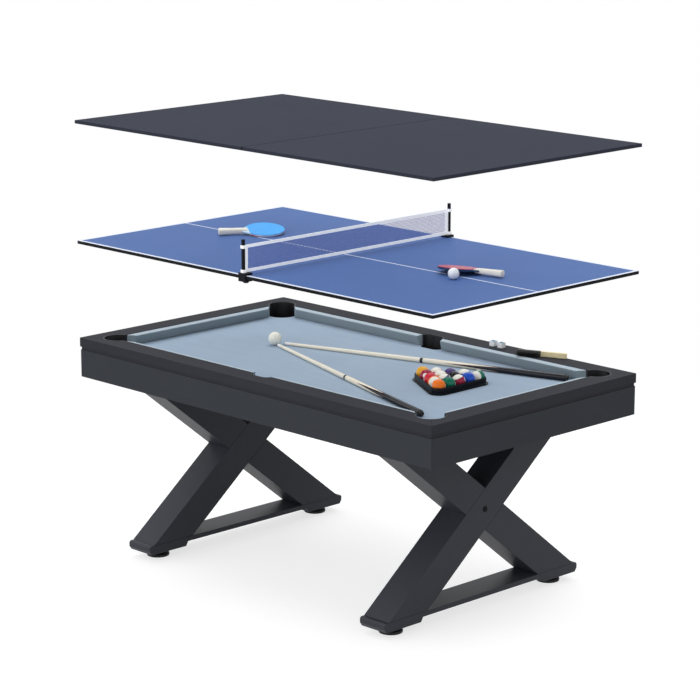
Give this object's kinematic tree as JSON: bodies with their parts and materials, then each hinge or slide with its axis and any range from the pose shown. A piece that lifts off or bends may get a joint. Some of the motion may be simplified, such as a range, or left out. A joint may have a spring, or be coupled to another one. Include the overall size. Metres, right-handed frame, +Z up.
{
  "type": "multi game table",
  "caption": "Pool table on two X legs with a lift-on table tennis top, a lift-on dining top, and cues, balls, rack, paddles and net.",
  "frame": {"origin": "on the floor under the middle of the table", "axes": "+X along the table's length, +Y across it from the net's near end to its far end, +Z up"},
  "size_m": [1.83, 1.0576, 1.631],
  "materials": {
    "rail_board": "charcoal laminate, satin",
    "apron_board": "charcoal laminate, satin",
    "leg_board": "charcoal laminate, satin",
    "bed_board": "raw board, matte",
    "billiard_cloth": "light blue-grey napped cloth",
    "cushion_cloth": "light blue-grey napped cloth over rubber",
    "black_plastic": "black moulded plastic",
    "foot_plastic": "black moulded plastic",
    "black_steel": "black bolt head",
    "clamp_metal": "black painted steel",
    "tennis_board": "matte blue paint with white lines and a black edge",
    "dining_board": "charcoal laminate, satin",
    "net_fabric": "white tape and cord",
    "ball_resin": "coloured pool balls, polished",
    "white_resin": "white cue ball, polished",
    "cue_wood": "lacquered pale wood with a black butt",
    "chalk": "pressed chalk with a white paper label",
    "brush_wood": "pale bare wood",
    "bristle": "black nylon bristle",
    "paddle_blue": "sky blue rubber with a cream wooden handle",
    "paddle_red": "red rubber over blue rubber with a cream wooden handle",
    "celluloid": "white table tennis ball"
  },
  "bodies": {
    "table": {"near_rail": "rail_board", "far_rail": "rail_board", "left_rail": "rail_board", "right_rail": "rail_board", "near_apron": "apron_board", "far_apron": "apron_board", "left_apron": "apron_board", "right_apron": "apron_board", "playfield_bed": "bed_board", "playfield_cloth": "billiard_cloth", "near_cushion_a": "cushion_cloth", "near_cushion_b": "cushion_cloth", "far_cushion_a": "cushion_cloth", "far_cushion_b": "cushion_cloth", "left_cushion": "cushion_cloth", "right_cushion": "cushion_cloth", "near_left_pocket": "black_plastic", "near_right_pocket": "black_plastic", "far_left_pocket": "black_plastic", "far_right_pocket": "black_plastic", "near_middle_pocket": "black_plastic", "far_middle_pocket": "black_plastic", "left_leg_through_beam": "leg_board", "left_leg_upper_beam": "leg_board", "left_leg_lower_beam": "leg_board", "left_leg_base": "leg_board", "left_leg_top_bar": "leg_board", "left_leg_bolt": "black_steel", "right_leg_through_beam": "leg_board", "right_leg_upper_beam": "leg_board", "right_leg_lower_beam": "leg_board", "right_leg_base": "leg_board", "right_leg_top_bar": "leg_board", "right_leg_bolt": "black_steel"},
    "left_near_levelling_foot": {"left_near_foot": "foot_plastic"},
    "left_far_levelling_foot": {"left_far_foot": "foot_plastic"},
    "right_near_levelling_foot": {"right_near_foot": "foot_plastic"},
    "right_far_levelling_foot": {"right_far_foot": "foot_plastic"},
    "tennis_board": {"tennis_top_left": "tennis_board", "tennis_top_right": "tennis_board", "near_net_clamp": "clamp_metal", "far_net_clamp": "clamp_metal"},
    "dining_board_left": {"dining_top_left": "dining_board"},
    "dining_board_right": {"dining_top_right": "dining_board"},
    "net": {"tennis_net": "net_fabric"},
    "near_screw": {"near_clamp_screw": "black_plastic"},
    "far_screw": {"far_clamp_screw": "black_plastic"},
    "rack": {"ball_rack": "black_plastic"},
    "object_balls": {"racked_balls": "ball_resin"},
    "cue_near": {"near_cue": "cue_wood"},
    "cue_far": {"far_cue": "cue_wood"},
    "white_ball": {"cue_ball": "white_resin"},
    "chalk_left": {"left_chalk": "chalk"},
    "chalk_right": {"right_chalk": "chalk"},
    "table_brush": {"brush_handle": "brush_wood", "brush_bristles": "bristle"},
    "paddle_left": {"left_paddle": "paddle_blue"},
    "paddle_right": {"right_paddle": "paddle_red"},
    "small_ball": {"tennis_ball": "celluloid"}
  },
  "joints": [
    {"name": "left_near_foot_level", "type": "slide", "parent": "table", "child": "left_near_levelling_foot", "axis": [0, 0, 1], "range_m": [-0.015, 0]},
    {"name": "left_far_foot_level", "type": "slide", "parent": "table", "child": "left_far_levelling_foot", "axis": [0, 0, 1], "range_m": [-0.015, 0]},
    {"name": "right_near_foot_level", "type": "slide", "parent": "table", "child": "right_near_levelling_foot", "axis": [0, 0, 1], "range_m": [-0.015, 0]},
    {"name": "right_far_foot_level", "type": "slide", "parent": "table", "child": "right_far_levelling_foot", "axis": [0, 0, 1], "range_m": [-0.015, 0]},
    {"name": "tennis_top_lift", "type": "slide", "parent": "table", "child": "tennis_board", "axis": [0, 0, 1], "range_m": [-0.33, 0]},
    {"name": "dining_left_lift", "type": "slide", "parent": "tennis_board", "child": "dining_board_left", "axis": [0, 0, 1], "range_m": [-0.305, 0]},
    {"name": "dining_right_lift", "type": "slide", "parent": "tennis_board", "child": "dining_board_right", "axis": [0, 0, 1], "range_m": [-0.305, 0]},
    {"name": "net_lift", "type": "slide", "parent": "tennis_board", "child": "net", "axis": [0, 0, 1], "range_m": [0, 0.13]},
    {"name": "near_screw_turn", "type": "hinge", "parent": "tennis_board", "child": "near_screw", "pos_m": [0, -0.5085, 1.16], "axis": [0, 0, 1], "range_deg": [0, 720]},
    {"name": "far_screw_turn", "type": "hinge", "parent": "tennis_board", "child": "far_screw", "pos_m": [0, 0.5085, 1.16], "axis": [0, 0, 1], "range_deg": [0, 720]},
    {"name": "rack_lift", "type": "slide", "parent": "object_balls", "child": "rack", "axis": [0, 0, 1], "range_m": [0, 0.12]},
    {"name": "racked_balls_lift", "type": "slide", "parent": "table", "child": "object_balls", "axis": [0, 0, 1], "range_m": [0, 0.2]},
    {"name": "near_cue_lift", "type": "slide", "parent": "table", "child": "cue_near", "axis": [0, 0, 1], "range_m": [0, 0.15]},
    {"name": "far_cue_lift", "type": "slide", "parent": "table", "child": "cue_far", "axis": [0, 0, 1], "range_m": [0, 0.15]},
    {"name": "cue_ball_lift", "type": "slide", "parent": "table", "child": "white_ball", "axis": [0, 0, 1], "range_m": [0, 0.15]},
    {"name": "left_chalk_lift", "type": "slide", "parent": "table", "child": "chalk_left", "axis": [0, 0, 1], "range_m": [0, 0.1]},
    {"name": "right_chalk_lift", "type": "slide", "parent": "table", "child": "chalk_right", "axis": [0, 0, 1], "range_m": [0, 0.1]},
    {"name": "brush_lift", "type": "slide", "parent": "table", "child": "table_brush", "axis": [0, 0, 1], "range_m": [0, 0.1]},
    {"name": "left_paddle_lift", "type": "slide", "parent": "tennis_board", "child": "paddle_left", "axis": [0, 0, 1], "range_m": [0, 0.12]},
    {"name": "right_paddle_lift", "type": "slide", "parent": "tennis_board", "child": "paddle_right", "axis": [0, 0, 1], "range_m": [0, 0.12]},
    {"name": "tennis_ball_lift", "type": "slide", "parent": "tennis_board", "child": "small_ball", "axis": [0, 0, 1], "range_m": [0, 0.12]}
  ]
}
